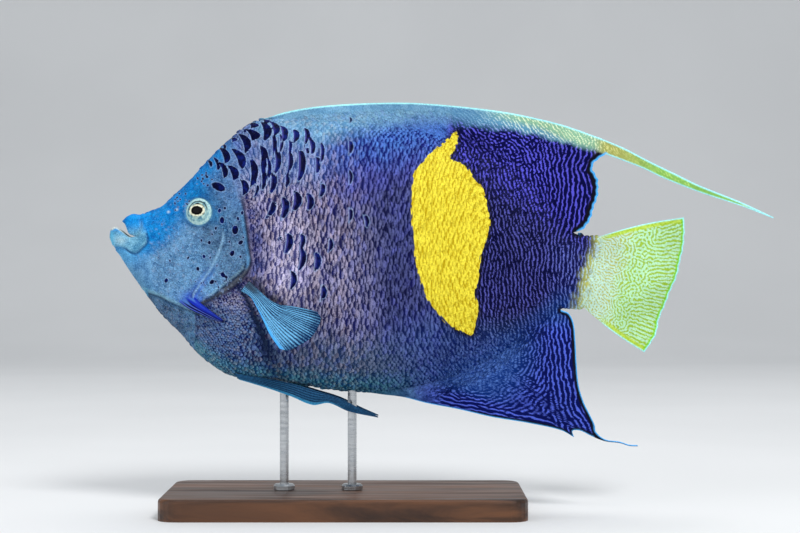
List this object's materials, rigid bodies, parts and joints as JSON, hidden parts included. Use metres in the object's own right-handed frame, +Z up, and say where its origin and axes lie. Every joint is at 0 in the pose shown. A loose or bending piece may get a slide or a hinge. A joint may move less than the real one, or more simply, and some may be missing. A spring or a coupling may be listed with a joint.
{
  "type": "halfmoon angelfish model",
  "caption": "Life-size halfmoon angelfish swimming over a flat wooden base on short steel rods, for display.",
  "frame": {"origin": "middle of the base's underside, on the surface that the model stands on", "axes": "+X from the snout to the tail, +Y to the fish's right side, +Z up"},
  "size_m": [0.3718, 0.096, 0.2287],
  "materials": {
    "head_skin": "painted blue-grey skin with fine mottling, satin",
    "body_skin": "painted scaly skin, purple-grey to navy with a yellow patch, satin",
    "dark_fin": "painted fin skin, navy with violet winding lines, satin",
    "yellow_fin": "painted fin skin, pale yellow-green with winding lines, satin",
    "blue_fin": "painted fin skin, blue with darker rays, satin",
    "spine": "painted spine, royal blue, glossy",
    "eye": "clear-coated eye with a pale iris and a black pupil",
    "base_wood": "dark wood with a satin varnish",
    "rod_steel": "brushed"
  },
  "bodies": {
    "root": {"head": "head_skin", "upper_lip": "head_skin", "lower_jaw": "head_skin", "gill_cover_left": "head_skin", "gill_cover_right": "head_skin", "trunk": "body_skin", "tail_stalk": "body_skin", "dorsal_fin": "dark_fin", "dorsal_filament": "yellow_fin", "anal_fin": "dark_fin", "anal_filament": "dark_fin", "tail_fin": "yellow_fin", "pectoral_fin_left": "blue_fin", "pectoral_fin_right": "blue_fin", "pelvic_fin_left": "blue_fin", "pelvic_fin_right": "blue_fin", "cheek_spine_left": "spine", "cheek_spine_right": "spine", "eye_left": "eye", "eye_right": "eye", "stand_base": "base_wood", "stand_rod_front": "rod_steel", "stand_rod_rear": "rod_steel"}
  },
  "joints": []
}
